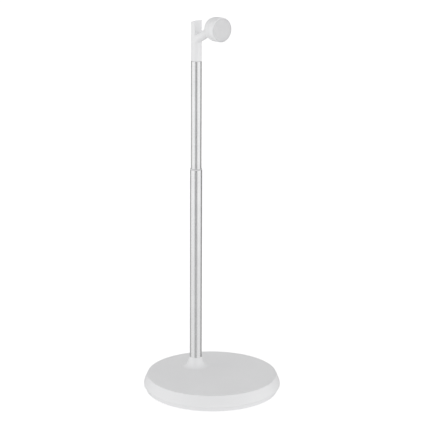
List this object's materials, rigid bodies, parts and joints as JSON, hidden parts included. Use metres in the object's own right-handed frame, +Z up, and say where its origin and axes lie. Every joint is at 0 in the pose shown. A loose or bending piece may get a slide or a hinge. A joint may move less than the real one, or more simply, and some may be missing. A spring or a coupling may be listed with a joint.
{
  "type": "customer display pole stand",
  "caption": "Weighted round base with a telescoping, swivelling two-stage metal pole and a small round tilting display mount on an angled arm.",
  "frame": {"origin": "on the surface it stands on, at the centre of the round base", "axes": "+Z up along the pole, -Y towards the front, which the round mount faces; the pole stands 50 mm behind the base's centre"},
  "size_m": [0.25, 0.25, 0.686],
  "materials": {
    "white_plastic": "satin moulded white plastic",
    "grey_rubber": "matt light grey silicone",
    "foot_rubber": "matt black rubber",
    "polished_steel": "polished, fine lengthwise grain",
    "plain_steel": "zinc plated",
    "cast_iron": "as cast, dark",
    "bush_plastic": "light grey bearing plastic",
    "magnet_metal": "nickel plated magnet"
  },
  "bodies": {
    "base": {"base_cover": "white_plastic", "pole_collar": "white_plastic", "base_tray": "white_plastic", "foot_pad_1": "foot_rubber", "foot_pad_2": "foot_rubber", "foot_pad_3": "foot_rubber", "foot_pad_4": "foot_rubber", "tray_screw_1": "plain_steel", "tray_screw_2": "plain_steel", "tray_screw_3": "plain_steel", "tray_screw_4": "plain_steel", "ballast_disc": "cast_iron", "pole_bolt": "plain_steel", "pole_washer": "plain_steel", "pole_foot_plug": "plain_steel", "lower_tube": "polished_steel", "guide_bush": "bush_plastic"},
    "slider": {"slider_plug": "bush_plastic", "friction_ring": "bush_plastic", "expander_spring": "plain_steel"},
    "upper_pole": {"upper_tube": "polished_steel", "retaining_pin": "plain_steel", "head_body": "white_plastic", "head_screw": "plain_steel"},
    "mount_rear": {"mount_rear_shell": "white_plastic", "tilt_pin": "plain_steel", "socket_cup": "bush_plastic", "socket_spring": "plain_steel", "hub_plate": "bush_plastic", "plate_screw_left": "plain_steel", "plate_screw_right": "plain_steel", "hub_washer": "plain_steel", "hub_screw": "plain_steel"},
    "mount_face": {"mount_face_housing": "white_plastic", "magnet_yoke": "plain_steel", "mount_magnet": "magnet_metal", "face_pad": "grey_rubber"}
  },
  "joints": [
    {"name": "pole_slide", "type": "slide", "parent": "base", "child": "slider", "axis": [0, 0, 1], "range_m": [-0.184, 0]},
    {"name": "pole_swivel", "type": "hinge", "parent": "slider", "child": "upper_pole", "pos_m": [0, 0.05, 0.354], "axis": [0, 0, 1], "continuous": true},
    {"name": "mount_tilt", "type": "hinge", "parent": "upper_pole", "child": "mount_rear", "pos_m": [0, -0.0005, 0.6645], "axis": [-1, 0, 0], "range_deg": [-10, 45]},
    {"name": "face_spin", "type": "hinge", "parent": "mount_rear", "child": "mount_face", "pos_m": [0, -0.0005, 0.6645], "axis": [0, -1, 0], "range_deg": [-90, 90]}
  ]
}
